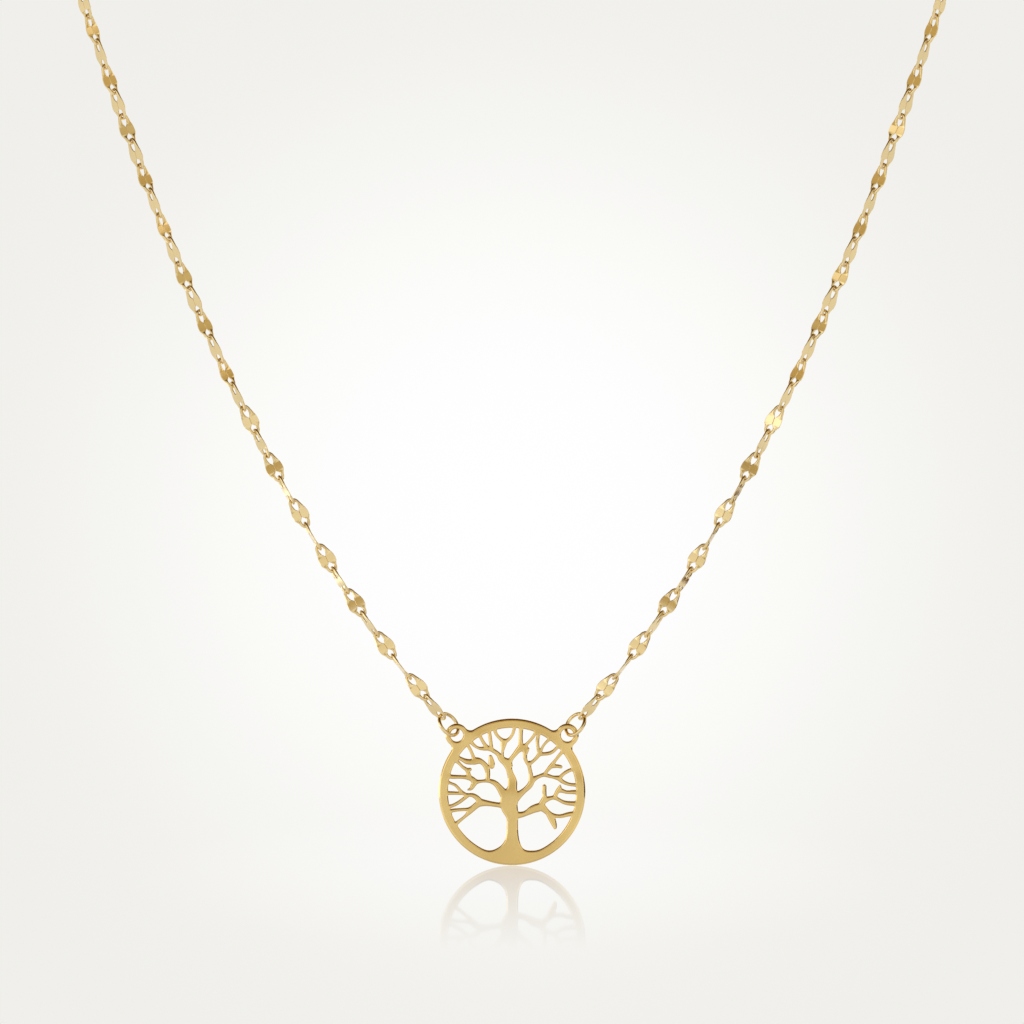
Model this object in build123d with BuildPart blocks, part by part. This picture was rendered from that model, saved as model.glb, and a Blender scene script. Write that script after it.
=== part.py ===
from build123d import *
import os
from math import asinh, atan2, cos, degrees, radians, sin, sqrt

# A tree of life pendant in yellow gold on a chain of pressed cable links, as it hangs when worn.
# Millimetres, +Z up, the front of the pendant towards -Y. The origin is the nape of the neck,
# where the chain rests. The pendant's centre is straight in front of it and lower.

# Place of the pendant
NAPE_BACK = 85.0  # the nape lies this far behind the pendant
NAPE_RISE = 116.0  # and this far above its centre

# Pendant
DISC_DIAMETER = 15.0
RIM_WIDTH = 0.96
PLATE_THICKNESS = 0.55
RIM_ROUND = 0.2  # the outer edge, front and back
GROUND_RISE = 1.5  # the flat ground under the trunk, measured up from the disc's lowest point
LUG_DIAMETER = 2.35
LUG_HOLE = 1.3
LUG_CLEAR = 0.6  # from the rim's outer edge to the centre of the hole
LUG_ANGLE = 45.8  # from the horizontal
LUG_BLEND = 0.6  # the hollow where a lug runs into the rim

# Jump rings between the lugs and the chain
RING_WIRE = 0.41
RING_DIAMETER = 2.88
RING_LEAN = 37.3  # the ring's long axis, from the vertical
RING_TURN = 54.0  # its plane, from facing the front
RING_LIFT = 0.12  # its wire lies this far above the centre of the lug's hole

# Chain
LINK_WIRE = 0.4
LINK_LENGTH = 3.7
LINK_WIDTH = 1.78
LINK_BOW_WIDTH = 1.28  # across the straight end of the wire
SHOULDER_NEAR = 0.8  # where the wire meets a paddle's blunt side, along the link
SHOULDER_NEAR_WIDTH = 1.62  # and how wide the link would be with two such shoulders
SHOULDER_FAR = 0.95  # the same on the paddle's tapering side
SHOULDER_FAR_WIDTH = 1.44
PADDLE_WIDEST = 0.35
PADDLE_LAP = 0.1  # a paddle reaches this far over the link's middle
PADDLE_THICKNESS = 0.2
BOW_CORNER = 35.0  # how far the wire is turned at the corner of a bow
WIRE_FLAT = 0.62  # the outer flat of the five-sided wire, as a share of its thickness
JOINT_CLEARANCE = 0.21  # between the wires of two links, along the chain
FIRST_LINK_TURN = 56.0  # the first link's plane, from facing the front
STRAND_TURN = -10.0  # the links after it, every second one a quarter more
STRAND_TWIST = -29.0  # how much further the upper part of the strand is turned
STRAND_TWIST_FROM = 11  # the link where this turn starts
STRAND_TWIST_OVER = 6  # and how many links it takes

# Hang of the visible stretch, a chain hanging freely from the lug up
HANG_SIZE = 41.12
HANG_SLOPE_LOW = 1.122
HANG_SLOPE_TOP = 3.2
HANG_STEPS = 8

# Route of the hidden stretch round the neck, from the top of the visible one to the clasp
NECK_ROUTE = [
    (48.3, -79.5, -20.5), (54.0, -57.0, -5.0), (49.8, -31.0, 1.2), (35.8, -12.0, 2.2),
    (19.3, -3.0, 1.4),
]
NAPE_PULL = 0.3  # how long the route keeps its direction at its end, the start being 1

# Clasp at the nape
CLASP_DIAMETER = 5.6
CLASP_WIRE = 0.95
CLASP_EYE = 1.9  # outer diameter of the eye on its left side
CLASP_EYE_WIRE = 0.5
END_RING_DIAMETER = 2.9
END_RING_WIRE = 0.45
END_CLEARANCE = 0.15

SAME_PLACE = 1e-4  # two points nearer than this are one

disc_radius = DISC_DIAMETER / 2
pendant_centre = Vector(0, -NAPE_BACK, -NAPE_RISE)
front = Plane(pendant_centre, x_dir=(1, 0, 0), z_dir=(0, -1, 0))

# The tree, in shares of the disc's radius. Each row is a place on the line of the branch, across
# and up from the disc's centre, and the full width of the branch there.
BRANCHES = {
    "trunk": [
        (-0.012, -0.815, 0.50), (-0.010, -0.79, 0.39), (-0.004, -0.75, 0.292), (0, -0.70, 0.227),
        (0.003, -0.63, 0.185), (0.005, -0.54, 0.160), (0.005, -0.45, 0.157), (0.002, -0.34, 0.166),
        (-0.02, -0.26, 0.21), (-0.04, -0.19, 0.235), (-0.035, -0.10, 0.25), (-0.01, 0, 0.20),
        (0.002, 0.05, 0.138), (0.007, 0.12, 0.13), (-0.007, 0.20, 0.108), (-0.027, 0.26, 0.09),
        (-0.043, 0.32, 0.09), (-0.055, 0.38, 0.11),
    ],
    "left_low_bough": [
        (-0.05, -0.19, 0.12), (-0.15, -0.182, 0.075), (-0.25, -0.168, 0.07), (-0.35, -0.153, 0.083),
        (-0.43, -0.147, 0.115),
    ],
    "left_twig_1": [
        (-0.44, -0.13, 0.09), (-0.49, -0.07, 0.068), (-0.55, -0.042, 0.058), (-0.62, -0.038, 0.05),
        (-0.66, -0.02, 0.05), (-0.69, 0.005, 0.045), (-0.73, 0.05, 0.042), (-0.77, 0.09, 0.04),
        (-0.82, 0.113, 0.038), (-0.88, 0.135, 0.05),
    ],
    "left_twig_2": [(-0.66, -0.02, 0.05), (-0.75, -0.017, 0.05), (-0.88, -0.015, 0.055)],
    "left_twig_3": [
        (-0.60, -0.05, 0.05), (-0.65, -0.088, 0.05), (-0.72, -0.14, 0.05), (-0.79, -0.178, 0.048),
        (-0.88, -0.205, 0.055),
    ],
    "left_twig_4": [
        (-0.46, -0.16, 0.08), (-0.52, -0.195, 0.06), (-0.58, -0.23, 0.05), (-0.66, -0.24, 0.045),
        (-0.75, -0.245, 0.048), (-0.86, -0.27, 0.06),
    ],
    "left_twig_5": [
        (-0.44, -0.165, 0.07), (-0.50, -0.205, 0.07), (-0.57, -0.265, 0.07), (-0.63, -0.325, 0.045),
        (-0.70, -0.383, 0.045), (-0.78, -0.45, 0.06),
    ],
    "left_middle_bough": [
        (-0.08, -0.05, 0.15), (-0.145, 0.02, 0.105), (-0.185, 0.075, 0.085), (-0.235, 0.122, 0.075),
        (-0.30, 0.148, 0.06), (-0.37, 0.15, 0.045), (-0.44, 0.143, 0.048), (-0.50, 0.138, 0.07),
        (-0.53, 0.15, 0.07),
    ],
    "left_free_twig": [
        (-0.49, 0.14, 0.07), (-0.525, 0.10, 0.075), (-0.552, 0.053, 0.055), (-0.60, 0.03, 0.022),
    ],
    "left_twig_6": [
        (-0.50, 0.15, 0.06), (-0.58, 0.19, 0.07), (-0.66, 0.203, 0.056), (-0.76, 0.205, 0.056),
        (-0.87, 0.215, 0.06),
    ],
    "left_twig_7": [
        (-0.57, 0.19, 0.07), (-0.595, 0.25, 0.062), (-0.61, 0.295, 0.06), (-0.665, 0.335, 0.045),
        (-0.72, 0.39, 0.045), (-0.78, 0.43, 0.06),
    ],
    "left_knob": [(-0.60, 0.30, 0.05), (-0.572, 0.306, 0.05)],
    "left_upper_bough": [
        (-0.335, 0.165, 0.06), (-0.33, 0.22, 0.066), (-0.333, 0.28, 0.07), (-0.345, 0.33, 0.08),
        (-0.385, 0.385, 0.07), (-0.43, 0.418, 0.078), (-0.49, 0.422, 0.10), (-0.56, 0.41, 0.08),
        (-0.62, 0.415, 0.075), (-0.68, 0.443, 0.055), (-0.75, 0.47, 0.07),
    ],
    "left_twig_8": [
        (-0.515, 0.44, 0.06), (-0.54, 0.515, 0.045), (-0.575, 0.59, 0.045), (-0.625, 0.665, 0.05),
    ],
    "left_wedge": [
        (-0.275, 0.35, 0.075), (-0.278, 0.40, 0.085), (-0.286, 0.445, 0.07), (-0.293, 0.478, 0.055),
    ],
    "upper_left_bough": [
        (-0.05, 0.36, 0.12), (-0.10, 0.42, 0.11), (-0.15, 0.455, 0.085), (-0.185, 0.51, 0.065),
        (-0.22, 0.54, 0.06), (-0.27, 0.57, 0.06), (-0.33, 0.597, 0.07),
    ],
    "upper_left_twig_1": [
        (-0.33, 0.597, 0.07), (-0.42, 0.591, 0.048), (-0.46, 0.60, 0.04), (-0.52, 0.64, 0.045),
        (-0.58, 0.70, 0.06),
    ],
    "upper_left_twig_2": [
        (-0.34, 0.61, 0.06), (-0.38, 0.66, 0.048), (-0.415, 0.72, 0.046), (-0.455, 0.80, 0.05),
    ],
    "upper_left_twig_3": [
        (-0.28, 0.58, 0.06), (-0.285, 0.64, 0.05), (-0.295, 0.72, 0.05), (-0.31, 0.82, 0.05),
    ],
    "top_stem": [
        (-0.125, 0.455, 0.06), (-0.128, 0.55, 0.04), (-0.121, 0.60, 0.058), (-0.115, 0.65, 0.084),
        (-0.105, 0.685, 0.085),
    ],
    "top_twig_1": [
        (-0.11, 0.69, 0.07), (-0.17, 0.735, 0.046), (-0.215, 0.79, 0.046), (-0.235, 0.86, 0.05),
    ],
    "top_twig_2": [
        (-0.10, 0.69, 0.07), (-0.03, 0.73, 0.045), (0.008, 0.785, 0.042), (0.03, 0.87, 0.045),
    ],
    "centre_bough": [
        (-0.04, 0.40, 0.10), (0, 0.465, 0.06), (0.045, 0.52, 0.065), (0.085, 0.57, 0.08),
        (0.14, 0.60, 0.12),
    ],
    "centre_twig_1": [(0.12, 0.62, 0.08), (0.118, 0.70, 0.06), (0.12, 0.78, 0.054), (0.125, 0.87, 0.06)],
    "centre_twig_2": [
        (0.17, 0.62, 0.07), (0.215, 0.665, 0.042), (0.265, 0.72, 0.042), (0.305, 0.775, 0.045),
        (0.335, 0.83, 0.05),
    ],
    "centre_nub": [(0.20, 0.58, 0.05), (0.222, 0.588, 0.035)],
    "centre_stem": [
        (0.22, 0.38, 0.055), (0.188, 0.43, 0.05), (0.178, 0.47, 0.055), (0.178, 0.51, 0.06),
        (0.187, 0.55, 0.085), (0.17, 0.59, 0.11),
    ],
    "right_bough": [
        (0.05, -0.07, 0.14), (0.12, -0.02, 0.09), (0.175, 0.025, 0.075), (0.225, 0.07, 0.08),
        (0.262, 0.13, 0.08),
    ],
    "right_stem": [
        (0.262, 0.14, 0.08), (0.26, 0.20, 0.065), (0.255, 0.25, 0.056), (0.243, 0.31, 0.053),
        (0.233, 0.36, 0.056), (0.24, 0.395, 0.06),
    ],
    "upper_right_bough": [
        (0.235, 0.385, 0.06), (0.295, 0.425, 0.046), (0.34, 0.47, 0.05), (0.375, 0.515, 0.06),
    ],
    "upper_right_twig_1": [
        (0.37, 0.52, 0.06), (0.358, 0.58, 0.045), (0.348, 0.65, 0.046), (0.346, 0.70, 0.05),
        (0.355, 0.75, 0.048), (0.37, 0.82, 0.05),
    ],
    "upper_right_twig_2": [
        (0.38, 0.53, 0.06), (0.405, 0.59, 0.04), (0.435, 0.64, 0.036), (0.475, 0.685, 0.04),
        (0.53, 0.73, 0.05),
    ],
    "upper_right_twig_3": [
        (0.375, 0.515, 0.06), (0.43, 0.517, 0.05), (0.50, 0.525, 0.052), (0.56, 0.552, 0.048),
        (0.605, 0.595, 0.045), (0.65, 0.63, 0.05),
    ],
    "right_arm": [
        (0.262, 0.12, 0.08), (0.32, 0.19, 0.065), (0.37, 0.212, 0.052), (0.43, 0.233, 0.057),
        (0.50, 0.218, 0.053), (0.57, 0.20, 0.046), (0.63, 0.19, 0.068), (0.655, 0.19, 0.06),
    ],
    "right_twig_1": [
        (0.43, 0.23, 0.05), (0.475, 0.285, 0.045), (0.53, 0.35, 0.06), (0.58, 0.415, 0.045),
        (0.63, 0.48, 0.045), (0.70, 0.56, 0.05),
    ],
    "right_free_twig": [(0.55, 0.35, 0.06), (0.61, 0.352, 0.052), (0.665, 0.342, 0.048)],
    "right_twig_2": [
        (0.65, 0.19, 0.06), (0.69, 0.235, 0.05), (0.74, 0.272, 0.05), (0.80, 0.30, 0.05),
        (0.87, 0.32, 0.055),
    ],
    "right_twig_3": [
        (0.64, 0.18, 0.06), (0.69, 0.14, 0.055), (0.73, 0.12, 0.05), (0.80, 0.10, 0.045),
        (0.88, 0.098, 0.055),
    ],
    "right_low_bough": [
        (0.02, -0.30, 0.12), (0.12, -0.312, 0.085), (0.20, -0.285, 0.08), (0.25, -0.255, 0.10),
        (0.30, -0.231, 0.113), (0.35, -0.215, 0.12), (0.40, -0.20, 0.11),
    ],
    "right_low_stem": [
        (0.40, -0.18, 0.09), (0.44, -0.12, 0.08), (0.48, -0.098, 0.072), (0.53, -0.083, 0.057),
        (0.575, -0.07, 0.06), (0.60, -0.03, 0.055), (0.625, 0.018, 0.06), (0.648, 0.055, 0.055),
        (0.655, 0.088, 0.025),
    ],
    "right_low_free_twig": [
        (0.43, -0.12, 0.09), (0.443, -0.05, 0.06), (0.44, 0.02, 0.06), (0.442, 0.075, 0.058),
    ],
    "right_low_twig_1": [
        (0.63, 0.01, 0.05), (0.68, 0.018, 0.062), (0.73, 0, 0.05), (0.80, -0.003, 0.055),
        (0.88, -0.005, 0.06),
    ],
    "right_low_twig_2": [
        (0.58, -0.08, 0.06), (0.64, -0.107, 0.05), (0.69, -0.135, 0.052), (0.75, -0.152, 0.06),
        (0.82, -0.158, 0.065), (0.88, -0.16, 0.07),
    ],
    "right_low_twig_3": [
        (0.41, -0.21, 0.11), (0.47, -0.265, 0.08), (0.53, -0.31, 0.07), (0.60, -0.328, 0.055),
        (0.68, -0.328, 0.056), (0.74, -0.312, 0.062), (0.80, -0.30, 0.066), (0.87, -0.30, 0.07),
    ],
    "right_root_twig": [
        (0.50, -0.30, 0.08), (0.54, -0.36, 0.095), (0.562, -0.41, 0.085), (0.578, -0.455, 0.07),
        (0.587, -0.485, 0.05),
    ],
}

# The tree: each branch is a face between two smooth sides, with round ends
with BuildSketch() as tree:
    for rows in BRANCHES.values():
        line = [Vector(across, up) * disc_radius for across, up, width in rows]
        half_widths = [width * disc_radius / 2 for across, up, width in rows]
        steps = [(b - a).normalized() for a, b in zip(line, line[1:])]
        ways = [(a + b).normalized() for a, b in zip(steps[:1] + steps, steps + steps[-1:])]
        sides = [way.rotate(Axis.Z, 90) * half for way, half in zip(ways, half_widths)]
        with BuildLine():
            left = Spline(*[point + side for point, side in zip(line, sides)])
            right = Spline(*[point - side for point, side in zip(line, sides)])
            ThreePointArc(left @ 0, line[0] - ways[0] * half_widths[0], right @ 0)
            ThreePointArc(left @ 1, line[-1] + ways[-1] * half_widths[-1], right @ 1)
        make_face()

# The gaps: what the tree and the ground leave free inside the rim
with BuildSketch() as gaps:
    Circle(disc_radius - RIM_WIDTH)
    with Locations((0, GROUND_RISE - disc_radius)):
        Rectangle(DISC_DIAMETER, GROUND_RISE, align=(Align.CENTER, Align.MAX), mode=Mode.SUBTRACT)
    add(tree.sketch, mode=Mode.SUBTRACT)

# The pendant: the pierced plate with its two lugs
lug_reach = disc_radius + LUG_CLEAR
lug_across = lug_reach * cos(radians(LUG_ANGLE))
lug_up = lug_reach * sin(radians(LUG_ANGLE))
with BuildPart() as tree_pendant:
    with BuildSketch(front) as plate:
        Circle(disc_radius)
        with Locations((-lug_across, lug_up), (lug_across, lug_up)):
            Circle(LUG_DIAMETER / 2)
        upper = [vertex for vertex in plate.vertices() if vertex.Y > 0]
        fillet([v for v in upper if abs(Vector(v).length - disc_radius) < SAME_PLACE], LUG_BLEND)
    extrude(amount=PLATE_THICKNESS / 2, both=True)
    fillet(tree_pendant.edges().filter_by(Plane.XZ), RIM_ROUND)
    with BuildSketch(front):
        add(gaps.sketch)
        with Locations((-lug_across, lug_up), (lug_across, lug_up)):
            Circle(LUG_HOLE / 2)
    extrude(amount=PLATE_THICKNESS, both=True, mode=Mode.SUBTRACT)
tree_pendant.part.label = "tree_pendant"

# The right jump ring: its wire goes through the lug's hole, outer side in front, inner side behind
ring_radius = (RING_DIAMETER - RING_WIRE) / 2
ring_way = Vector(sin(radians(RING_LEAN)), 0, cos(radians(RING_LEAN)))
ring_side = Vector(-ring_way.Z, 0, ring_way.X).rotate(Axis((0, 0, 0), ring_way), -RING_TURN)
lug_centre = pendant_centre + Vector(lug_across, 0, lug_up)
ring_centre = lug_centre + ring_way * (RING_LIFT + ring_radius)
with BuildPart() as jump_ring_right:
    with Locations(Plane(ring_centre, x_dir=ring_way, z_dir=ring_way.cross(ring_side))):
        Torus(ring_radius, RING_WIRE / 2)
jump_ring_right.part.label = "jump_ring_right"

# One link, along X, pressed flat in the middle: a five-sided wire runs round each end and spreads
# into a thin paddle. The two paddles point opposite ways and leave a slit between them.
wire = LINK_WIRE / 2
bow_along = LINK_LENGTH / 2 - wire
bow_across = LINK_BOW_WIDTH / 2 - wire
near_across = SHOULDER_NEAR_WIDTH / 2 - wire
far_across = SHOULDER_FAR_WIDTH / 2 - wire
paddle_half = (LINK_WIDTH / 2 + PADDLE_LAP) / 2
paddle_across = LINK_WIDTH / 2 - paddle_half
corner_width = wire / cos(radians(BOW_CORNER))
# along, across, heading of the wire, half its width, half its thickness
rail = [
    (bow_along, 0, 90, wire, wire),
    (bow_along, bow_across, 90 + BOW_CORNER, corner_width, wire),
    (SHOULDER_NEAR, near_across, 180, wire, wire),
    (PADDLE_WIDEST, paddle_across, 180, paddle_half, PADDLE_THICKNESS / 2),
    (-SHOULDER_FAR, far_across, 180, wire, wire),
    (-bow_along, bow_across, 270 - BOW_CORNER, corner_width, wire),
    (-bow_along, 0, 270, wire, wire),
]
with BuildPart() as half_link:
    for along, across, heading, half_width, half_thick in rail:
        outward = Vector(1, 0, 0).rotate(Axis.Z, heading - 90)
        with BuildSketch(Plane((along, across, 0), x_dir=outward, z_dir=outward.rotate(Axis.Z, 90))):
            Polygon(
                (-half_width, 0),
                (-half_width / 2, -half_thick),
                (half_width, -WIRE_FLAT * half_thick),
                (half_width, WIRE_FLAT * half_thick),
                (-half_width / 2, half_thick),
                align=None,
            )
    loft(ruled=True)
with BuildPart() as link:
    add(half_link.part)
    add(half_link.part, rotation=(0, 0, 180))

# The clasp: a plain ring with an eye on its left side, flat against the neck. The end rings hang
# in it, the right one in the ring itself and the left one in the eye, and the chain in them.
clasp_radius = (CLASP_DIAMETER - CLASP_WIRE) / 2
eye_radius = (CLASP_EYE - CLASP_EYE_WIRE) / 2
eye_along = CLASP_DIAMETER / 2 + eye_radius
end_radius = (END_RING_DIAMETER - END_RING_WIRE) / 2
in_clasp = (CLASP_WIRE + END_RING_WIRE) / 2 + END_CLEARANCE
in_eye = (CLASP_EYE_WIRE + END_RING_WIRE) / 2 + END_CLEARANCE
right_end = clasp_radius - in_clasp + end_radius
left_end = eye_along + eye_radius - in_eye + end_radius
clasp_along = (left_end - right_end) / 2
end_along = (left_end + right_end) / 2
link_bite = (END_RING_WIRE + LINK_WIRE) / 2 + JOINT_CLEARANCE
with BuildPart() as clasp:
    with Locations(Plane((clasp_along, 0, 0), z_dir=(0, 1, 0))):
        Torus(clasp_radius, CLASP_WIRE / 2)
    with Locations(Plane((clasp_along - eye_along, 0, 0), z_dir=(0, 1, 0))):
        Torus(eye_radius, CLASP_EYE_WIRE / 2)
clasp.part.label = "clasp"
with BuildPart() as end_ring_right:
    with Locations((end_along, 0, 0)):
        Torus(end_radius, END_RING_WIRE / 2)
end_ring_right.part.label = "end_ring_right"

# The right strand's route, from the jump ring up and round to the end ring
ring_bite = (RING_WIRE + LINK_WIRE) / 2 + JOINT_CLEARANCE
first_joint = ring_centre + ring_way * (ring_radius - ring_bite / 2)
last_joint = Vector(end_along + end_radius - link_bite / 2, 0, 0)


def hang(share):
    """A place on the hanging curve, from its lower end at 0 to its top at 1."""
    slope = HANG_SLOPE_LOW + (HANG_SLOPE_TOP - HANG_SLOPE_LOW) * share
    across = HANG_SIZE * (asinh(slope) - asinh(HANG_SLOPE_LOW))
    up = HANG_SIZE * (sqrt(1 + slope**2) - sqrt(1 + HANG_SLOPE_LOW**2))
    return first_joint + Vector(across, 0, up)


with BuildLine() as route:
    Spline(
        *[hang(step / HANG_STEPS) for step in range(HANG_STEPS + 1)],
        *NECK_ROUTE,
        last_joint,
        tangents=[(1, 0, HANG_SLOPE_LOW), (-1, 0, 0)],
        tangent_scalars=[1, NAPE_PULL],
    )
strand = route.edge()
link_count = round(strand.length / (LINK_LENGTH - 2 * LINK_WIRE - JOINT_CLEARANCE))
pitch = strand.length / link_count
joints = [strand.position_at(pitch * n, PositionMode.LENGTH) for n in range(link_count + 1)]

# Each link lies between two joints. Its face is carried along the route without turning, then
# turned: every second link by a quarter, and all by a slow twist that ends flat at the nape.
face = Vector(0, -1, 0)
carried = []
for low, high in zip(joints, joints[1:]):
    way = (high - low).normalized()
    face = (face - way * face.dot(way)).normalized()
    carried.append((low + (high - low) / 2, way, face))
to_flat = degrees(atan2(face.cross(Vector(0, 1, 0)).dot(way), face.Y))
quarters = 90 * (link_count % 2)
nape_twist = (to_flat - quarters - STRAND_TURN - STRAND_TWIST + 90) % 180 - 90
hang_count = round(HANG_SIZE * (HANG_SLOPE_TOP - HANG_SLOPE_LOW) / pitch)


def link_turn(number):
    """How far a link's face is turned, in degrees. The first link, at the jump ring, is number 1."""
    if number == 1:
        return FIRST_LINK_TURN
    share = min(1, max(0, (number - STRAND_TWIST_FROM) / STRAND_TWIST_OVER))
    twist = STRAND_TWIST * share**2 * (3 - 2 * share)
    hidden = max(0, (number - hang_count) / (link_count - hang_count))
    return 90 * (number % 2) + STRAND_TURN + twist + nape_twist * hidden


places = [
    Plane(middle, x_dir=way, z_dir=face.rotate(Axis((0, 0, 0), way), link_turn(number)))
    for number, (middle, way, face) in enumerate(carried, start=1)
]
with BuildPart() as chain_right:
    with Locations(*places):
        add(link.part, clean=False)
chain_right.part.label = "chain_right"

# The left side mirrors the right one
with BuildPart() as jump_ring_left:
    mirror(jump_ring_right.part, about=Plane.YZ)
jump_ring_left.part.label = "jump_ring_left"
with BuildPart() as chain_left:
    mirror(chain_right.part, about=Plane.YZ)
chain_left.part.label = "chain_left"
with BuildPart() as end_ring_left:
    mirror(end_ring_right.part, about=Plane.YZ)
end_ring_left.part.label = "end_ring_left"

os.makedirs("parts", exist_ok=True)
pieces = [
    tree_pendant, jump_ring_left, jump_ring_right, chain_left, chain_right, end_ring_left,
    end_ring_right, clasp,
]
for piece in pieces:
    export_step(piece.part, f"parts/{piece.part.label}.step")

loop = 2 * (strand.length + first_joint.X + last_joint.X)
print(f"{link_count} links a side, {pitch:.3f} mm apart, loop {loop:.1f} mm")
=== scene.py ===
from math import cos, pi, radians, sin

import bmesh
import bpy
import numpy as np
from mathutils import Matrix, Vector


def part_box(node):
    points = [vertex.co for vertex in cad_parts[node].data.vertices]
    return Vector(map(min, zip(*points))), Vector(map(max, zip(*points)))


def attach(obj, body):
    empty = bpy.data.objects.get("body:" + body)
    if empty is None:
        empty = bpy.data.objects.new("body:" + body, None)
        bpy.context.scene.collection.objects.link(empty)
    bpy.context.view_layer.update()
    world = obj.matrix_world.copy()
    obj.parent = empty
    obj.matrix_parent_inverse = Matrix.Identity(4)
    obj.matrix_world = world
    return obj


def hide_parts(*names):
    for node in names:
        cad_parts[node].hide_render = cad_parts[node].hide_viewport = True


bl_info = {
    "name": "Tree of life necklace",
    "version": (1, 0, 0),
    "blender": (4, 5, 0),
    "location": "3D View > Sidebar > Necklace",
    "description": "Models and finishes a pierced gold pendant on a chain of pressed links",
    "category": "Add Mesh",
}

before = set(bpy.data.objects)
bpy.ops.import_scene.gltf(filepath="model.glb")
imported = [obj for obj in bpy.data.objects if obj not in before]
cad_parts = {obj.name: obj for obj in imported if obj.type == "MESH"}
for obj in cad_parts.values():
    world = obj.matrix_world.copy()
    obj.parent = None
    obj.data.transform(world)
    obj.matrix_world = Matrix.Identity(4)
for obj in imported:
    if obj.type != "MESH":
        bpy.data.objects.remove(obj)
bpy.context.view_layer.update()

MM = 0.001
PENDANT_LOW, PENDANT_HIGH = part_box("tree_pendant")
PLATE_MIDDLE = (PENDANT_LOW.y + PENDANT_HIGH.y) / 2
PLATE_HALF = (PENDANT_HIGH.y - PENDANT_LOW.y) / 2
DISC_RADIUS = (PENDANT_HIGH.x - PENDANT_LOW.x) / 2
DISC_CENTRE = Vector((0, PLATE_MIDDLE, PENDANT_LOW.z + DISC_RADIUS))

# The corners of the two large gaps lie below this share of the radius, and inside the rim
GROUND_DEPTH = 0.66
RIM_INSIDE = 0.93
# No edge is rounded by more than this share of the metal beside it
ROUNDING_SHARE = 0.85
# How often the rounding is evened out along an outline
ROUNDING_PASSES = 6
# Nothing nearer than this is taken for the metal's other side
NEAREST_METAL = 0.02 * MM
# A band of even polish runs round the face, this share of the rounding wide
EVEN_BAND = 0.08

# Where a link's pressed faces begin and end along it
PRESSED_FROM = -0.5 * MM
PRESSED_TO = 0.75 * MM
# How near to upright a pressed face's normal is at least, with 1 for upright
FACE_UPRIGHT = 0.9
# From a link's middle line to the middle of either half
PADDLE_ACROSS = 0.44 * MM
LINK_SIDES = 12
# Every link is bowed forwards, outwards and down, as its weight pulls it
HEAVY = Vector((0.5, -0.5, -0.7))
# How far the turn of a link runs ahead of the one before it, in radians of its wave
SWAY_STEP = 2.2

SCRATCH_HEIGHT = 0.00003 * MM

WIRE_SIDES = 20
RING_STEPS = 72

FLOOR_HALF = 0.9
FLOOR_GAP = 0.02 * MM
# The mirror image in the floor fades out at this distance, and nearer at the sides
MIRROR_REACH = 0.116
MIRROR_STRENGTH = 0.41
SIDE_FADE = 3


class PendantSettings(bpy.types.PropertyGroup):
    """Sizes of the pendant's edges."""

    rim_round: bpy.props.FloatProperty(
        name="Rim rounding", description="Radius of the disc's outer edge", default=0.24 * MM,
        min=0, unit="LENGTH", precision=5,
    )
    twig_round: bpy.props.FloatProperty(
        name="Twig rounding", description="Radius of the edges of the tree and its gaps",
        default=0.2 * MM, min=0, unit="LENGTH", precision=5,
    )
    crotch_round: bpy.props.FloatProperty(
        name="Crotch rounding", description="How far the corners between twigs are softened",
        default=0.068 * MM, min=0, unit="LENGTH", precision=5,
    )
    ground_round: bpy.props.FloatProperty(
        name="Ground rounding",
        description="How far the corners of the two large gaps are softened",
        default=0.4 * MM, min=0, unit="LENGTH", precision=5,
    )
    outline_step: bpy.props.FloatProperty(
        name="Outline step", description="Distance between points along the outline",
        default=0.075 * MM, min=0.02 * MM, unit="LENGTH", precision=5,
    )


class ChainSettings(bpy.types.PropertyGroup):
    """Sizes of the pressed links."""

    wire: bpy.props.FloatProperty(
        name="Wire", description="Diameter of the wire at a link's ends", default=0.31 * MM,
        min=0, unit="LENGTH", precision=5,
    )
    paddle: bpy.props.FloatProperty(
        name="Paddle", description="Thickness of the pressed faces", default=0.13 * MM,
        min=0, unit="LENGTH", precision=5,
    )
    bend: bpy.props.FloatProperty(
        name="Bend", description="How far a link's middle is bowed from its ends",
        default=0.11 * MM, unit="LENGTH", precision=5,
    )
    tilt: bpy.props.FloatProperty(
        name="Tilt", description="Slope of each pressed face, away from the seam between the two",
        default=radians(0.6), unit="ROTATION",
    )
    sway: bpy.props.FloatProperty(
        name="Sway",
        description="How far links are turned about their length, some more than others",
        default=radians(8), unit="ROTATION",
    )
    show: bpy.props.FloatProperty(
        name="Show", description="How far a link seen from its edge is turned to show its face",
        default=radians(9), unit="ROTATION",
    )


class FinishSettings(bpy.types.PropertyGroup):
    """Colour and polish of the gold."""

    cast: bpy.props.StringProperty(
        name="Cast gold", description="sRGB hex colour of the pendant's metal", default="#F3D591"
    )
    wire: bpy.props.StringProperty(
        name="Wire gold", description="sRGB hex colour of the chain's metal", default="#F3DCA9"
    )
    deepen: bpy.props.FloatProperty(
        name="Deepen", description="How much darker the metal is where it is least polished",
        default=0.1, min=0, max=1, subtype="FACTOR",
    )
    play: bpy.props.FloatProperty(
        name="Play",
        description="How much thinner the rings' wire is, to leave the pendant more room to swing",
        default=0.03 * MM, min=0, unit="LENGTH", precision=5,
    )
    ripple: bpy.props.FloatProperty(
        name="Ripple", description="Distance between the low waves that polishing leaves",
        default=4.2 * MM, min=0, unit="LENGTH", precision=5,
    )
    scratch: bpy.props.FloatProperty(
        name="Scratch", description="Distance between polishing scratches", default=0.05 * MM,
        min=0, unit="LENGTH", precision=5,
    )


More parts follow.
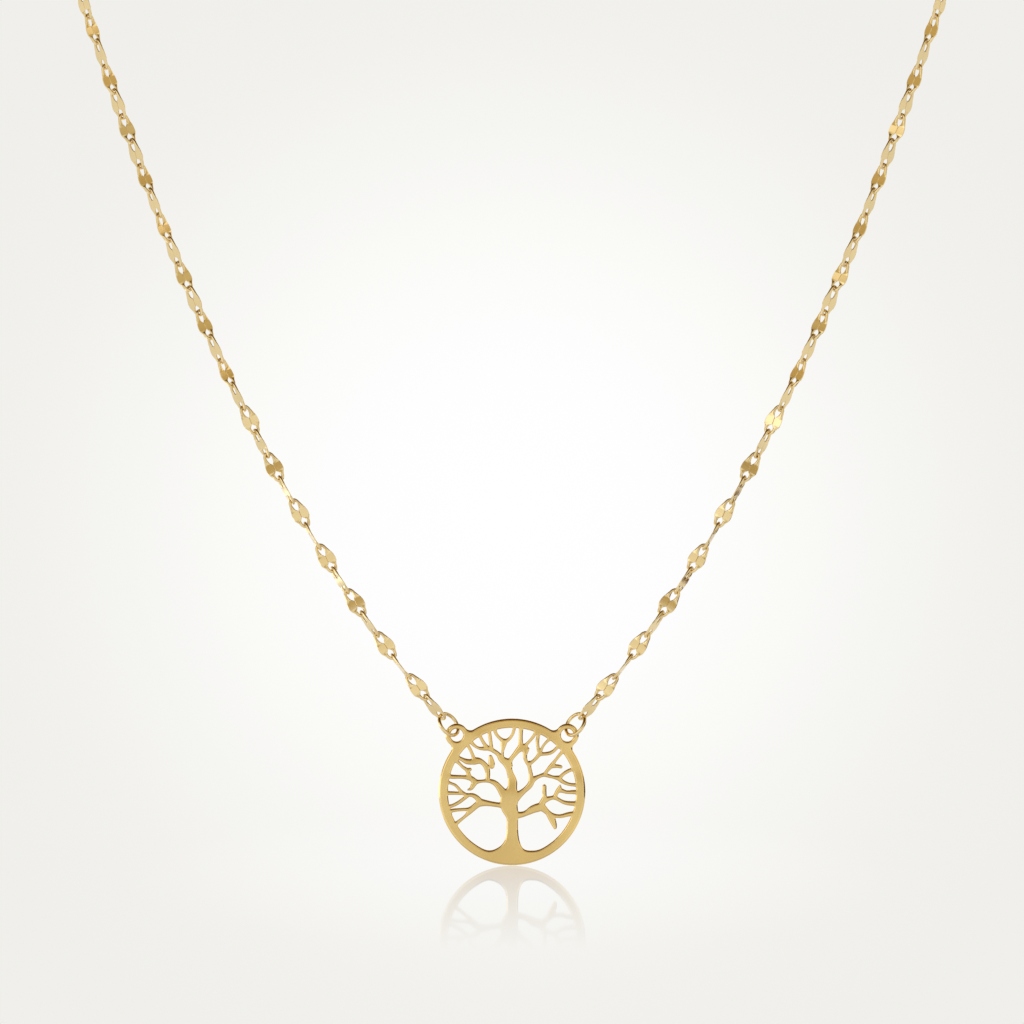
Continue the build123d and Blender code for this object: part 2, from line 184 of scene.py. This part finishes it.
class StageSettings(bpy.types.PropertyGroup):
    """Floor, backdrop and light."""

    # glow and pale are the two ends of a painted glow of light on the backdrop and the floor: glow
    # in the middle, pale at the edges
    glow: bpy.props.StringProperty(
        name="Glow", description="sRGB hex colour of the middle of the backdrop", default="#FFFFFF"
    )
    pale: bpy.props.StringProperty(
        name="Pale", description="sRGB hex colour of the backdrop's edges and the floor",
        default="#F0EFEB",
    )
    camera_distance: bpy.props.FloatProperty(
        name="Camera distance", description="From the pendant's face", default=0.6,
        min=0.1, unit="LENGTH",
    )
    view_width: bpy.props.FloatProperty(
        name="View width", description="Width of the view at the pendant", default=104.63 * MM,
        min=0.01, unit="LENGTH",
    )
    camera_rise: bpy.props.FloatProperty(
        name="Camera rise", description="Height above the pendant's centre",
        default=28.59 * MM, unit="LENGTH",
    )


def linear(colour):
    """Turns an sRGB hex colour into linear red, green, blue and alpha."""
    parts = [int(colour[i : i + 2], 16) / 255 for i in (1, 3, 5)]
    return [p / 12.92 if p <= 0.04045 else ((p + 0.055) / 1.055) ** 2.4 for p in parts] + [1.0]


def add(tree, kind, inputs=(), **settings):
    """Adds a node with its settings. An input takes a value or another node's output."""
    made = tree.nodes.new(kind)
    for name, value in settings.items():
        setattr(made, name, value)
    for socket, value in dict(inputs).items():
        if isinstance(value, bpy.types.NodeSocket):
            tree.links.new(value, made.inputs[socket])
        else:
            made.inputs[socket].default_value = value
    return made


def gold_finish(name, colour, roughness, ripple_height, grain):
    """Yellow gold of 14 carats, polished on a cloth wheel."""
    # Polishing scratches lie about 0.005 mm apart. They are drawn ten times as coarse, to show.
    finish = bpy.context.scene.necklace_finish
    material = bpy.data.materials.get(name)
    if material:
        return material
    material = bpy.data.materials.new(name)
    material.use_nodes = True
    tree = material.node_tree
    tree.nodes.clear()
    place = add(tree, "ShaderNodeTexCoord").outputs["Object"]
    ripple = add(tree, "ShaderNodeTexNoise", {
        "Vector": place, "Scale": 1 / finish.ripple, "Detail": 1.0, "Roughness": 0.4,
    }).outputs["Fac"]
    stretched = add(tree, "ShaderNodeMapping", {"Vector": place, "Scale": grain}).outputs["Vector"]
    scratch = add(tree, "ShaderNodeTexNoise", {
        "Vector": stretched, "Scale": 1 / finish.scratch, "Detail": 3.0, "Roughness": 0.6,
    }).outputs["Fac"]
    depth = add(tree, "ShaderNodeMapRange", {
        "Value": ripple, "From Min": 0.3, "From Max": 0.7,
        "To Min": 1.0, "To Max": 1 - finish.deepen,
    }).outputs["Result"]
    tone = add(tree, "ShaderNodeVectorMath", {
        0: linear(colour)[:3], "Scale": depth,
    }, operation="SCALE")
    dull = add(tree, "ShaderNodeMapRange", {
        "Value": scratch, "From Min": 0.3, "From Max": 0.7,
        "To Min": roughness * 0.8, "To Max": roughness * 1.25,
    }).outputs["Result"]
    waves = add(tree, "ShaderNodeBump", {
        "Height": ripple, "Distance": ripple_height, "Strength": 1.0,
    })
    marks = add(tree, "ShaderNodeBump", {
        "Height": scratch, "Distance": SCRATCH_HEIGHT, "Strength": 1.0,
        "Normal": waves.outputs["Normal"],
    })
    shader = add(tree, "ShaderNodeBsdfPrincipled", {
        "Base Color": tone.outputs["Vector"], "Metallic": 1.0, "Roughness": dull,
        "Normal": marks.outputs["Normal"],
    })
    add(tree, "ShaderNodeOutputMaterial", {"Surface": shader.outputs["BSDF"]})
    return material


def cast_gold():
    # Cast and polished by hand: low waves let the tone of the face drift from dark to pale.
    colour = bpy.context.scene.necklace_finish.cast
    grain = (1.0, 1.0, 0.15)
    return gold_finish("polished cast gold", colour, 0.15, 0.11 * MM, grain)


def pressed_gold():
    # Faces pressed between smooth rollers, so each link mirrors one patch of the studio.
    colour = bpy.context.scene.necklace_finish.wire
    grain = (0.3, 1.0, 1.0)
    return gold_finish("rolled wire gold", colour, 0.16, 0.06 * MM, grain)


def drawn_gold():
    # Drawn wire, smooth all round, with a sharp bright line along it.
    colour = bpy.context.scene.necklace_finish.wire
    grain = (1.0, 1.0, 1.0)
    return gold_finish("drawn wire gold", colour, 0.1, 0.001 * MM, grain)


def finished(bm, name, body, material, replaces):
    """Turns a bmesh into a piece of the necklace."""
    mesh = bpy.data.meshes.new(name)
    bm.to_mesh(mesh)
    bm.free()
    mesh.materials.append(material)
    piece = bpy.data.objects.new(name, mesh)
    bpy.context.scene.collection.objects.link(piece)
    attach(piece, body)
    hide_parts(*replaces)
    return piece


def merged_copy(node):
    """A CAD node's mesh with its loose triangles joined."""
    bm = bmesh.new()
    bm.from_mesh(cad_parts[node].data)
    bmesh.ops.remove_doubles(bm, verts=bm.verts, dist=0.0005 * MM)
    return bm


def extruded(bm, edges):
    """Extrudes loose edges and returns the new edges and vertices."""
    made = bmesh.ops.extrude_edge_only(bm, edges=edges)["geom"]
    return (
        [g for g in made if isinstance(g, bmesh.types.BMEdge)],
        [g for g in made if isinstance(g, bmesh.types.BMVert)],
    )


def loops_of(bm):
    """The closed loops of a bmesh of loose edges, each as its vertices in order."""
    left = set(bm.verts)
    loops = []
    for start in bm.verts:
        if start not in left:
            continue
        loop = [start]
        left.discard(start)
        ahead = start
        while True:
            ways = [e.other_vert(ahead) for e in ahead.link_edges]
            ways = [v for v in ways if v in left]
            if not ways:
                break
            ahead = ways[0]
            left.discard(ahead)
            loop.append(ahead)
        loops.append(loop)
    return loops


def pendant_outline(settings):
    """The pendant's outline and gaps at the middle of the plate, corners softened."""
    bm = merged_copy("tree_pendant")
    everything = bm.verts[:] + bm.edges[:] + bm.faces[:]
    cut = bmesh.ops.bisect_plane(
        bm, geom=everything, dist=0.0001 * MM, plane_co=(0, PLATE_MIDDLE, 0), plane_no=(0, 1, 0)
    )["geom_cut"]
    kept = {g for g in cut if isinstance(g, bmesh.types.BMVert)}
    bmesh.ops.delete(bm, geom=[v for v in bm.verts if v not in kept], context="VERTS")
    step = settings.outline_step
    # Points closer than a third of a step would crowd the outline
    bmesh.ops.remove_doubles(bm, verts=bm.verts, dist=0.3 * step)
    by_cuts = {}
    for edge in bm.edges:
        by_cuts.setdefault(int(edge.calc_length() / step), []).append(edge)
    for cuts, edges in by_cuts.items():
        if cuts:
            bmesh.ops.subdivide_edges(bm, edges=edges, cuts=cuts)
    low = DISC_CENTRE.z - GROUND_DEPTH * DISC_RADIUS
    inside = RIM_INSIDE * DISC_RADIUS
    ground = [v for v in bm.verts if v.co.z < low and (v.co - DISC_CENTRE).length < inside]
    for verts, size in ((bm.verts, settings.crotch_round), (ground, settings.ground_round)):
        for _ in range(round(2 * (size / step) ** 2)):
            bmesh.ops.smooth_vert(bm, verts=verts, factor=0.5, use_axis_x=True, use_axis_z=True)
    return bm


def rounding_held(points, inward, wanted, sizes):
    """The rounding at each point of the outlines that the metal behind it can hold."""
    room = np.empty(len(points))
    for i, (point, way) in enumerate(zip(points, inward)):
        to = points - point
        ahead = to @ way
        near = ahead > NEAREST_METAL
        room[i] = np.min(np.sum(to[near] ** 2, axis=1) / (2 * ahead[near]))
    most = ROUNDING_SHARE * room
    held = np.minimum(wanted, most)
    first = 0
    for size in sizes:
        part = held[first : first + size]
        for _ in range(ROUNDING_PASSES):
            part = (np.roll(part, 1) + 2 * part + np.roll(part, -1)) / 4
        held[first : first + size] = np.minimum(part, most[first : first + size])
        first += size
    return held


class NECKLACE_OT_pendant(bpy.types.Operator):
    """Models the pierced disc with rounded edges from the CAD plate's outline"""

    bl_idname = "necklace.pendant"
    bl_label = "Tree pendant"

    def execute(self, context):
        settings = context.scene.necklace_pendant
        bm = pendant_outline(settings)
        number = bm.verts.layers.int.new("number")
        loops = sorted(
            loops_of(bm), key=lambda loop: max((v.co - DISC_CENTRE).length for v in loop)
        )
        points, inward, wanted = [], [], []
        first = 0
        for loop in loops:
            outer = loop is loops[-1]
            co = np.array([(v.co.x, v.co.z) for v in loop])
            along = np.roll(co, -1, axis=0) - np.roll(co, 1, axis=0)
            along /= np.linalg.norm(along, axis=1)[:, None]
            area = np.sum(co[:, 0] * np.roll(co[:, 1], -1) - np.roll(co[:, 0], -1) * co[:, 1])
            turn = 1 if (area > 0) == outer else -1
            inward.append(np.stack([-along[:, 1], along[:, 0]], axis=1) * turn)
            wanted.append(np.full(len(loop), settings.rim_round if outer else settings.twig_round))
            points.append(co)
            for i, v in enumerate(loop):
                v[number] = first + i
            first += len(loop)
        sizes = [len(p) for p in points]
        points, inward, wanted = map(np.concatenate, (points, inward, wanted))
        rounding = rounding_held(points, inward, wanted, sizes)
        front = PLATE_MIDDLE - PLATE_HALF
        edges = bm.edges[:]
        profile = [(0.0, 0.0)]
        profile += [(1 - cos(a), sin(a)) for a in np.radians((22.5, 45, 67.5, 90))]
        profile.append((1 + EVEN_BAND, 1.0))
        for share, rise in profile:
            edges, verts = extruded(bm, edges)
            for v in verts:
                r = rounding[v[number]]
                x, z = points[v[number]] + inward[v[number]] * r * share
                v.co = (x, front + r * (1 - rise), z)
        bmesh.ops.triangle_fill(bm, use_beauty=True, edges=edges, normal=(0, -1, 0))
        middle = Matrix.Translation((0, PLATE_MIDDLE, 0))
        whole = bm.verts[:] + bm.edges[:] + bm.faces[:]
        bmesh.ops.mirror(
            bm, geom=whole, matrix=middle.inverted(), merge_dist=0.001 * MM, axis="Y"
        )
        bmesh.ops.recalc_face_normals(bm, faces=bm.faces)
        for face in bm.faces:
            face.smooth = True
        finished(bm, "tree_of_life_disc", "pendant", cast_gold(), ["tree_pendant"])
        return {"FINISHED"}


def axes_of(points):
    """Middle of a set of points and their axes, longest first."""
    middle = points.mean(axis=0)
    spread = points - middle
    _, axes = np.linalg.eigh(spread.T @ spread)
    return middle, axes[:, ::-1].T


def islands_of(bm):
    """The separate solids of a bmesh, each as an array of its corners."""
    left = set(bm.verts)
    found = []
    for start in bm.verts:
        if start not in left:
            continue
        left.discard(start)
        island = [start]
        queue = [start]
        while queue:
            here = queue.pop()
            for edge in here.link_edges:
                other = edge.other_vert(here)
                if other in left:
                    left.discard(other)
                    island.append(other)
                    queue.append(other)
        found.append(np.array([v.co[:] for v in island]))
    return found


def link_side(settings, side):
    """Stations down one side of a link, from its lower end to its upper one, sizes in mm."""
    wire = settings.wire / MM / 2
    thin = settings.paddle / MM / 2
    # The seam runs a little askew between the two holes
    seam_skew = 0.12 * side
    seam_middle = 0.12
    # Round the end: along, across, heading
    bow = [
        (1.555, 0.0, 90), (1.525, 0.14, 108), (1.43, 0.265, 134), (1.3, 0.355, 150),
        (1.15, 0.42, 159),
    ]
    # Down the side: along, inner edge, outer edge, half thickness, flatness from 0 to 1
    face = [
        (1.00, 0.28, 0.61, wire, 0), (0.88, 0.285, 0.67, wire * 0.9, 0.15),
        (0.77, 0.255, 0.735, wire * 0.7, 0.4), (0.67, 0.19, 0.80, wire * 0.5, 0.7),
        (0.56, 0.075, 0.845, thin, 1), (0.46, 0.0, 0.872, thin, 1), (0.32, 0.0, 0.888, thin, 1),
        (0.14, 0.0, 0.888, thin, 1), (-0.04, 0.0, 0.872, thin, 1), (-0.22, 0.0, 0.84, thin, 1),
        (-0.33, 0.065, 0.812, thin, 1), (-0.44, 0.155, 0.775, wire * 0.5, 0.7),
        (-0.55, 0.205, 0.745, wire * 0.7, 0.4), (-0.68, 0.24, 0.71, wire * 0.9, 0.15),
        (-0.83, 0.265, 0.665, wire, 0), (-1.00, 0.28, 0.61, wire, 0),
    ]
    # along, across, heading, half width, half thickness, flatness
    rows = [(x, y, heading, wire, wire, 0) for x, y, heading in bow]
    for x, inner, outer, thick, flat in face:
        if inner == 0:
            inner = seam_skew * (x - seam_middle)
        rows.append((x, (inner + outer) / 2, 180, (outer - inner) / 2, thick, flat))
    return rows + [(-x, y, 360 - heading, wire, wire, 0) for x, y, heading in reversed(bow)]


def pressed_link(settings):
    """One link along X with its faces towards Z, as a mesh."""
    bm = bmesh.new()
    number = bm.verts.layers.int.new("number")
    # Turned by half a side, so that the pressed faces are single flats
    turn = Matrix.Rotation(pi / LINK_SIDES, 4, "Z")
    made = bmesh.ops.create_circle(bm, segments=LINK_SIDES, radius=1, matrix=turn)["verts"]
    unit = []
    for i, v in enumerate(made):
        v[number] = i
        unit.append(v.co.copy())
    down = link_side(settings, 1)
    end = down[0][0]
    back = [(x, -y, 180 - heading, *section) for x, y, heading, *section in link_side(settings, -1)]
    stations = down + back[-2::-1]
    edges, verts = bm.edges[:], made
    for station, (x, y, heading, half_width, half_thick, flat) in enumerate(stations):
        if station:
            edges, verts = extruded(bm, edges)
        way = radians(heading)
        outward = Vector((sin(way), -cos(way), 0))
        for v in verts:
            u = unit[v[number]]
            side = 1 if u.x > 0 else -1
            reach = u.x * half_width + flat * (half_width - half_thick) * (side - u.x)
            v.co = (Vector((x, y, 0)) + outward * reach) * MM
            # The faces slope away from the seam, and the whole link is a little bowed
            slope = settings.tilt * max(0.0, 1 - x * x) * (PADDLE_ACROSS - abs(v.co.y))
            v.co.z = half_thick * u.y * MM + slope + settings.bend * (1 - (x / end) ** 2)
    bmesh.ops.remove_doubles(bm, verts=bm.verts, dist=0.001 * MM)
    bmesh.ops.recalc_face_normals(bm, faces=bm.faces)
    # The pressed faces are smooth up to a crisp border
    pressed = set()
    for face in bm.faces:
        face.smooth = True
        along = face.calc_center_median().x
        if PRESSED_FROM < along < PRESSED_TO and abs(face.normal.z) > FACE_UPRIGHT:
            pressed.add(face)
    for edge in bm.edges:
        edge.smooth = len(pressed.intersection(edge.link_faces)) != 1
    mesh = bpy.data.meshes.new("pressed_link")
    bm.to_mesh(mesh)
    bm.free()
    return mesh


class NECKLACE_OT_chain(bpy.types.Operator):
    """Models every pressed link in the place that the CAD chain gives it"""

    bl_idname = "necklace.chain"
    bl_label = "Chain"

    def execute(self, context):
        settings = context.scene.necklace_chain
        link = pressed_link(settings)
        cad = merged_copy("chain_right")
        bm = bmesh.new()
        upwards = sorted(islands_of(cad), key=lambda island: island[:, 2].mean())
        for i, corners in enumerate(upwards):
            middle, (along, across, face) = axes_of(corners)
            along = along if along[2] < 0 else -along
            face = face if Vector(face).dot(HEAVY) > 0 else -face
            across = np.cross(face, along)
            axes = Matrix((along, across, face)).transposed().to_4x4()
            show = settings.show * (1 - abs(face[1])) * (1 if across[1] > 0 else -1)
            sway = Matrix.Rotation(settings.sway * sin(SWAY_STEP * i) + show, 4, "X")
            before = len(bm.verts)
            bm.from_mesh(link)
            bm.verts.ensure_lookup_table()
            place = Matrix.Translation(middle) @ axes @ sway
            bmesh.ops.transform(bm, matrix=place, verts=bm.verts[before:])
        cad.free()
        bmesh.ops.recalc_face_normals(bm, faces=bm.faces)
        other = bm.copy()
        bmesh.ops.scale(other, vec=(-1, 1, 1), verts=other.verts)
        bmesh.ops.recalc_face_normals(other, faces=other.faces)
        finished(bm, "pressed_links_right", "chain", pressed_gold(), ["chain_right"])
        finished(other, "pressed_links_left", "chain", pressed_gold(), ["chain_left"])
        bpy.data.meshes.remove(link)
        return {"FINISHED"}


def wire_ring(bm, middle, axis, radius, wire):
    """Adds a closed ring of round wire."""
    side = axis.orthogonal().normalized()
    turn = Matrix((side.cross(axis), axis, side)).transposed().to_4x4()
    place = Matrix.Translation(middle + side.cross(axis) * radius) @ turn
    made = bmesh.ops.create_circle(
        bm, segments=WIRE_SIDES, radius=wire / 2, matrix=place
    )["verts"]
    edges = list({e for v in made for e in v.link_edges})
    bmesh.ops.spin(
        bm, geom=made + edges, cent=middle, axis=axis, angle=2 * pi, steps=RING_STEPS,
        use_merge=True,
    )


class NECKLACE_OT_rings(bpy.types.Operator):
    """Models the jump rings and the end rings from round wire, and finishes the clasp"""

    bl_idname = "necklace.rings"
    bl_label = "Rings and clasp"

    def execute(self, context):
        for node in ("jump_ring_left", "jump_ring_right", "end_ring_left", "end_ring_right"):
            cad = merged_copy(node)
            corners = islands_of(cad)[0]
            cad.free()
            middle, (_, _, axis) = axes_of(corners)
            spread = corners - middle
            rise = np.abs(spread @ axis).max()
            reach = np.linalg.norm(spread, axis=1).max()
            bm = bmesh.new()
            wire = 2 * rise - context.scene.necklace_finish.play
            wire_ring(bm, Vector(middle), Vector(axis), reach - rise, wire)
            bmesh.ops.recalc_face_normals(bm, faces=bm.faces)
            for face in bm.faces:
                face.smooth = True
            finished(bm, "wire_" + node, "chain", drawn_gold(), [node])
        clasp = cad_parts["clasp"].data
        clasp.materials.clear()
        clasp.materials.append(drawn_gold())
        return {"FINISHED"}


def colour_stops(ramp, stops):
    """Fills a colour ramp with places and sRGB hex colours."""
    elements = ramp.color_ramp.elements
    for element, (position, colour) in zip(elements, (stops[0], stops[-1])):
        element.position = position
        element.color = linear(colour)
    for position, colour in stops[1:-1]:
        elements.new(position).color = linear(colour)


def backdrop(tree, way, settings):
    """A painted glow of light: white in the middle and paler towards the edges, for a direction
    seen from the camera.
    """
    size = settings.view_width / settings.camera_distance
    depth = add(tree, "ShaderNodeSeparateXYZ", {"Vector": way}).outputs["Y"]
    depths = add(tree, "ShaderNodeCombineXYZ", {"X": depth, "Y": depth, "Z": depth}).outputs[0]
    flat = add(tree, "ShaderNodeVectorMath", {
        0: way, 1: depths,
    }, operation="DIVIDE").outputs["Vector"]
    away = add(tree, "ShaderNodeVectorMath", {0: flat, 1: (0.0, 1.0, 0.0)}, operation="DISTANCE")
    share = add(tree, "ShaderNodeMapRange", {
        "Value": away.outputs["Value"], "From Max": 0.6 * size,
    }).outputs["Result"]
    ramp = add(tree, "ShaderNodeValToRGB", {"Fac": share})
    # The stops paint the pool of light, fading from white in the middle to pale at the edges
    colour_stops(ramp, [
        (0.0, settings.glow), (0.23, "#FEFEFE"), (0.3, "#FDFDFD"), (0.386, "#FCFCFA"),
        (0.467, "#FAFAF7"), (0.549, "#F8F7F5"), (0.63, "#F5F5F2"), (0.711, "#F4F3EF"),
        (0.793, "#F2F1ED"), (0.874, "#F1F0EC"), (1.0, settings.pale),
    ])
    return ramp.outputs["Color"]


def world_light(settings):
    """Soft light from all round for the gold to mirror, with the pale backdrop behind, its brighter
    middle a painted glow of light.
    """
    world = bpy.data.worlds.new("soft light")
    bpy.context.scene.world = world
    world.use_nodes = True
    tree = world.node_tree
    tree.nodes.clear()
    way = add(tree, "ShaderNodeTexCoord").outputs["Generated"]
    parts = add(tree, "ShaderNodeSeparateXYZ", {"Vector": way})
    ahead = add(tree, "ShaderNodeMath", {
        0: parts.outputs["Y"], 1: -1.0,
    }, operation="MULTIPLY").outputs[0]
    turn = add(tree, "ShaderNodeMath", {
        0: parts.outputs["X"], 1: ahead,
    }, operation="ARCTAN2").outputs[0]
    around = add(tree, "ShaderNodeMapRange", {
        "Value": turn, "From Min": -pi, "From Max": pi,
    }).outputs["Result"]
    # From behind, round the left side to the front, and round the right side, in degrees.
    # The front is dim, so that the flat faces keep the gold's own colour.
    ring = add(tree, "ShaderNodeValToRGB", {"Fac": around})
    colour_stops(ring, [((angle + 180) / 360, colour) for angle, colour in [
        (-180, "#FFFFFF"), (-150, "#F8F5EE"), (-120, "#D8CCAC"), (-90, "#C9B078"), (-60, "#D4C7A2"),
        (-35, "#FFFFFB"), (-16, "#F0EBDB"), (-8, "#B39C65"), (0, "#C8B585"), (8, "#C1AC76"),
        (16, "#F0EBDB"), (35, "#FFFFFB"), (60, "#D4C7A2"), (90, "#C9B078"), (120, "#D8CCAC"),
        (150, "#F8F5EE"), (180, "#FFFFFF"),
    ]])
    above = add(tree, "ShaderNodeMapRange", {
        "Value": parts.outputs["Z"], "From Min": -0.2, "From Max": 0.2,
    }).outputs["Result"]
    upright = add(tree, "ShaderNodeValToRGB", {"Fac": above})
    colour_stops(upright, [(0.0, "#D8D2C0"), (1.0, "#634512")])
    height = add(tree, "ShaderNodeMath", {0: parts.outputs["Z"]}, operation="ABSOLUTE").outputs[0]
    steep = add(tree, "ShaderNodeMapRange", {
        "Value": height, "From Min": 0.44, "From Max": 0.74,
    }, interpolation_type="SMOOTHSTEP").outputs["Result"]
    mirrored = add(tree, "ShaderNodeMix", {
        0: steep, 6: ring.outputs["Color"], 7: upright.outputs["Color"],
    }, data_type="RGBA")
    seen = add(tree, "ShaderNodeLightPath").outputs["Is Camera Ray"]
    # Behind the pendant the camera sees the backdrop's painted glow of light, not a lit surface
    behind = add(tree, "ShaderNodeBackground", {"Color": backdrop(tree, way, settings)})
    light = add(tree, "ShaderNodeBackground", {"Color": mirrored.outputs[2]})
    both = add(tree, "ShaderNodeMixShader", {
        0: seen, 1: light.outputs[0], 2: behind.outputs[0],
    })
    add(tree, "ShaderNodeOutputWorld", {"Surface": both.outputs[0]})


def floor_finish(settings, eye):
    """Pale glossy acrylic sheet: it shows a faint mirror image of what stands on it. It is not lit:
    it glows with the backdrop's painted glow of light, brightest in the middle of the view.
    """
    material = bpy.data.materials.new("glossy acrylic floor")
    material.use_nodes = True
    tree = material.node_tree
    tree.nodes.clear()
    place = add(tree, "ShaderNodeTexCoord").outputs["Object"]
    near = add(tree, "ShaderNodeMapping", {
        "Vector": place, "Location": (0, -PLATE_MIDDLE, 0), "Scale": (SIDE_FADE, 1, 0),
    }).outputs["Vector"]
    away = add(tree, "ShaderNodeVectorMath", {0: near}, operation="LENGTH").outputs["Value"]
    mirror = add(tree, "ShaderNodeMapRange", {
        "Value": away, "From Max": MIRROR_REACH, "To Min": MIRROR_STRENGTH, "To Max": 0.0,
    }).outputs["Result"]
    way = add(tree, "ShaderNodeVectorMath", {
        0: place, 1: eye,
    }, operation="SUBTRACT").outputs["Vector"]
    # The floor glows with the backdrop's painted glow of light instead of being lit
    glow = add(tree, "ShaderNodeEmission", {"Color": backdrop(tree, way, settings)}).outputs[0]
    gloss = add(tree, "ShaderNodeBsdfGlossy", {
        "Color": linear("#FFFFFF"), "Roughness": 0.03,
    }).outputs[0]
    sheet = add(tree, "ShaderNodeMixShader", {0: mirror, 1: glow, 2: gloss}).outputs[0]
    add(tree, "ShaderNodeOutputMaterial", {"Surface": sheet})
    return material


def card(name, corner, opposite, colour, strength):
    """An upright card beside the pendant, fading towards its edges, which only the gold sees."""
    bm = bmesh.new()
    bmesh.ops.create_grid(bm, x_segments=1, y_segments=1, size=0.5)
    size = Vector(opposite) - Vector(corner)
    middle = (Vector(corner) + Vector(opposite)) / 2
    turn = Matrix.Rotation(pi / 2, 4, "Y")
    bmesh.ops.transform(bm, matrix=turn, verts=bm.verts)
    bmesh.ops.scale(bm, vec=(1, size.y, size.z), verts=bm.verts)
    bmesh.ops.translate(bm, vec=middle, verts=bm.verts)
    mesh = bpy.data.meshes.new(name)
    bm.to_mesh(mesh)
    bm.free()
    material = bpy.data.materials.new(name)
    material.use_nodes = True
    tree = material.node_tree
    tree.nodes.clear()
    place = add(tree, "ShaderNodeTexCoord").outputs["Object"]
    scale = Vector((0, 2 / size.y, 2 / size.z))
    near = add(tree, "ShaderNodeMapping", {
        "Vector": place, "Location": -middle * scale, "Scale": scale,
    }).outputs["Vector"]
    inside = add(tree, "ShaderNodeTexGradient", {
        "Vector": near,
    }, gradient_type="SPHERICAL").outputs["Fac"]
    share = add(tree, "ShaderNodeMapRange", {
        "Value": inside, "From Max": 0.35,
    }, interpolation_type="SMOOTHSTEP").outputs["Result"]
    bare = add(tree, "ShaderNodeBsdfTransparent").outputs[0]
    glow = add(tree, "ShaderNodeEmission", {
        "Color": linear(colour), "Strength": strength,
    }).outputs[0]
    sheet = add(tree, "ShaderNodeMixShader", {0: share, 1: bare, 2: glow}).outputs[0]
    add(tree, "ShaderNodeOutputMaterial", {"Surface": sheet})
    mesh.materials.append(material)
    piece = bpy.data.objects.new(name, mesh)
    piece.visible_camera = False
    piece.visible_shadow = False
    bpy.context.scene.collection.objects.link(piece)


class NECKLACE_OT_stage(bpy.types.Operator):
    """Lays the floor and sets the light and the camera"""

    bl_idname = "necklace.stage"
    bl_label = "Floor, light and camera"

    def execute(self, context):
        settings = context.scene.necklace_stage
        world_light(settings)
        bm = bmesh.new()
        place = Matrix.Translation((0, PLATE_MIDDLE, PENDANT_LOW.z - FLOOR_GAP))
        bmesh.ops.create_grid(bm, x_segments=2, y_segments=2, size=FLOOR_HALF, matrix=place)
        mesh = bpy.data.meshes.new("floor")
        bm.to_mesh(mesh)
        bm.free()
        eye = DISC_CENTRE + Vector((0, -settings.camera_distance, settings.camera_rise))
        mesh.materials.append(floor_finish(settings, eye))
        floor = bpy.data.objects.new("floor", mesh)
        context.scene.collection.objects.link(floor)
        # They give the pendant's edges a dark line on the right and a pale one on the left
        for name, x, colour, strength in (
            ("dark card", 0.062, "#6A4A16", 1.0),
            ("white card", -0.062, "#FFFFFF", 1.7),
        ):
            card(name, (x, -0.16, -0.14), (x, 0.05, -0.1), colour, strength)
        for name, spot, size, power in (
            ("left softbox", (-0.9, -0.9, 0.35), 0.8, 0.8),
            ("right softbox", (1.0, 0.2, 0.3), 0.5, 0.3),
        ):
            light = bpy.data.lights.new(name, "AREA")
            light.shape = "DISK"
            light.size = size
            light.energy = power
            lamp = bpy.data.objects.new(name, light)
            lamp.location = spot
            aim = DISC_CENTRE - Vector(spot)
            lamp.rotation_euler = aim.to_track_quat("-Z", "Y").to_euler()
            context.scene.collection.objects.link(lamp)
        camera = bpy.data.objects.new("camera", bpy.data.cameras.new("camera"))
        camera.data.lens = camera.data.sensor_width * settings.camera_distance / settings.view_width
        camera.location = eye
        camera.rotation_euler = (pi / 2, 0, 0)
        context.scene.collection.objects.link(camera)
        context.scene.camera = camera
        context.scene.view_settings.view_transform = "Standard"
        return {"FINISHED"}


class NECKLACE_PT_panel(bpy.types.Panel):
    """Lists the necklace's pieces"""

    bl_idname = "NECKLACE_PT_panel"
    bl_label = "Necklace"
    bl_space_type = "VIEW_3D"
    bl_region_type = "UI"
    bl_category = "Necklace"

    def draw(self, context):
        scene = context.scene
        for operator, settings in (
            ("necklace.pendant", scene.necklace_pendant),
            ("necklace.chain", scene.necklace_chain),
            ("necklace.rings", scene.necklace_finish),
            ("necklace.stage", scene.necklace_stage),
        ):
            box = self.layout.box()
            box.operator(operator)
            for name in settings.__annotations__:
                box.prop(settings, name)


CLASSES = (
    PendantSettings, ChainSettings, FinishSettings, StageSettings, NECKLACE_OT_pendant,
    NECKLACE_OT_chain, NECKLACE_OT_rings, NECKLACE_OT_stage, NECKLACE_PT_panel,
)
SETTINGS = {
    "necklace_pendant": PendantSettings,
    "necklace_chain": ChainSettings,
    "necklace_finish": FinishSettings,
    "necklace_stage": StageSettings,
}


def register():
    for cls in CLASSES:
        bpy.utils.register_class(cls)
    for name, group in SETTINGS.items():
        setattr(bpy.types.Scene, name, bpy.props.PointerProperty(type=group))


def unregister():
    for name in SETTINGS:
        delattr(bpy.types.Scene, name)
    for cls in reversed(CLASSES):
        bpy.utils.unregister_class(cls)


def main():
    register()
    bpy.ops.necklace.pendant()
    bpy.ops.necklace.chain()
    bpy.ops.necklace.rings()
    bpy.ops.necklace.stage()


if __name__ == "__main__":
    main()
